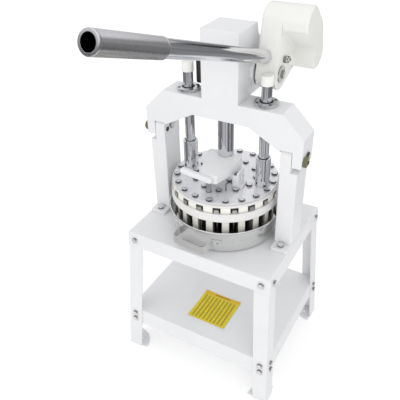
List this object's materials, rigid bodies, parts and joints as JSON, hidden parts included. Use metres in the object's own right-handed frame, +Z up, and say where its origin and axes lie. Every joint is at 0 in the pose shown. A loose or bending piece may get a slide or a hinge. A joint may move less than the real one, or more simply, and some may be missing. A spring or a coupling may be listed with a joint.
{
  "type": "manual dough divider",
  "caption": "Hand-lever dough divider on a splayed stand: rack-driven ram, guided press head with fingers and blades, counterweighted lever and a loose round pan.",
  "frame": {"origin": "on the floor, midway between the four anchor holes of the feet", "axes": "+X to the operator's right, +Y to the rear away from the operator, +Z up"},
  "size_m": [0.556, 0.8943, 1.3262],
  "materials": {
    "white_paint": "smooth semi-gloss white paint",
    "warm_white_paint": "smooth semi-gloss warm white paint on a casting",
    "zinc_fastener": "bright zinc plate",
    "dark_steel": "dark oxide steel",
    "yellow_zinc": "yellow passivated zinc plate",
    "black_iron": "black paint on cast iron",
    "black_rubber": "matt black seal",
    "chrome": "hard chrome, polished",
    "knurled_chrome": "chromed diamond knurl",
    "bronze": "bearing bronze",
    "machined_steel": "oiled machined steel",
    "white_nylon": "satin white nylon",
    "cream_nylon": "satin cream nylon",
    "grey_aluminium": "satin light grey",
    "stainless": "brushed stainless steel",
    "yellow_card": "plain yellow laminated card"
  },
  "bodies": {
    "frame": {"table_top": "white_paint", "leg_front_left": "white_paint", "leg_front_right": "white_paint", "leg_rear_left": "white_paint", "leg_rear_right": "white_paint", "foot_plates": "white_paint", "shelf": "white_paint", "stand_bolts": "zinc_fastener", "stand_nuts": "zinc_fastener", "shelf_card": "yellow_card", "column_left": "white_paint", "column_right": "white_paint", "column_bolts": "zinc_fastener", "column_nuts": "zinc_fastener", "crosshead": "white_paint", "rear_cover": "white_paint", "cover_screws": "zinc_fastener", "pivot_bolts": "dark_steel", "pivot_nuts": "dark_steel", "lock_bolts": "dark_steel", "lock_nuts": "yellow_zinc", "linear_bearings": "chrome", "bearing_screws": "zinc_fastener", "bearing_seals": "black_rubber", "ram_bush": "bronze", "bearing_block": "black_iron", "bearing_flange": "white_paint", "shaft_bearing_screws": "zinc_fastener"},
    "lever": {"pinion_shaft": "machined_steel", "shaft_keys": "machined_steel", "pinion": "machined_steel", "lever_arm": "warm_white_paint", "handle_tube": "chrome", "handle_grip": "knurled_chrome", "handle_cross_bolts": "zinc_fastener", "shaft_end_bolt": "zinc_fastener"},
    "ram_assembly": {"ram": "chrome", "yoke": "white_paint", "yoke_posts": "stainless", "guide_rods": "chrome", "rod_caps": "white_nylon", "cutter_ring": "white_nylon", "blade_clips": "stainless", "outer_blades": "stainless", "middle_blades": "stainless", "inner_blades": "stainless", "ring_blades": "stainless"},
    "press_head": {"press_plate": "grey_aluminium", "backing_plate": "cream_nylon", "outer_fingers": "cream_nylon", "middle_fingers": "cream_nylon", "inner_fingers": "cream_nylon", "press_bolts": "zinc_fastener", "guide_sleeves": "chrome", "catch_bracket": "white_paint", "catch_wire": "dark_steel"},
    "latch": {"latch_lever": "white_paint"},
    "pan_body": {"pan": "stainless", "pan_handles": "stainless", "pan_rivets": "stainless"}
  },
  "joints": [
    {"name": "lever_swing", "type": "hinge", "parent": "frame", "child": "lever", "pos_m": [0, 0.065, 1.019], "axis": [1, 0, 0], "range_deg": [-65.6, 42.9]},
    {"name": "ram_slide", "type": "slide", "parent": "frame", "child": "ram_assembly", "axis": [0, 0, 1], "range_m": [-0.036, 0.055]},
    {"name": "press_slide", "type": "slide", "parent": "ram_assembly", "child": "press_head", "axis": [0, 0, 1], "range_m": [0, 0.027]},
    {"name": "latch_swing", "type": "hinge", "parent": "ram_assembly", "child": "latch", "pos_m": [0.006, -0.1165, 0.74], "axis": [0, 1, 0], "range_deg": [0, 40]},
    {"name": "pan_turn", "type": "hinge", "parent": "frame", "child": "pan_body", "pos_m": [0, 0, 0.516], "axis": [0, 0, 1], "range_deg": [-35, 50]}
  ],
  "couplings": [
    {"joint": "ram_slide", "follows": "lever_swing", "m_per_rad": -0.048}
  ]
}
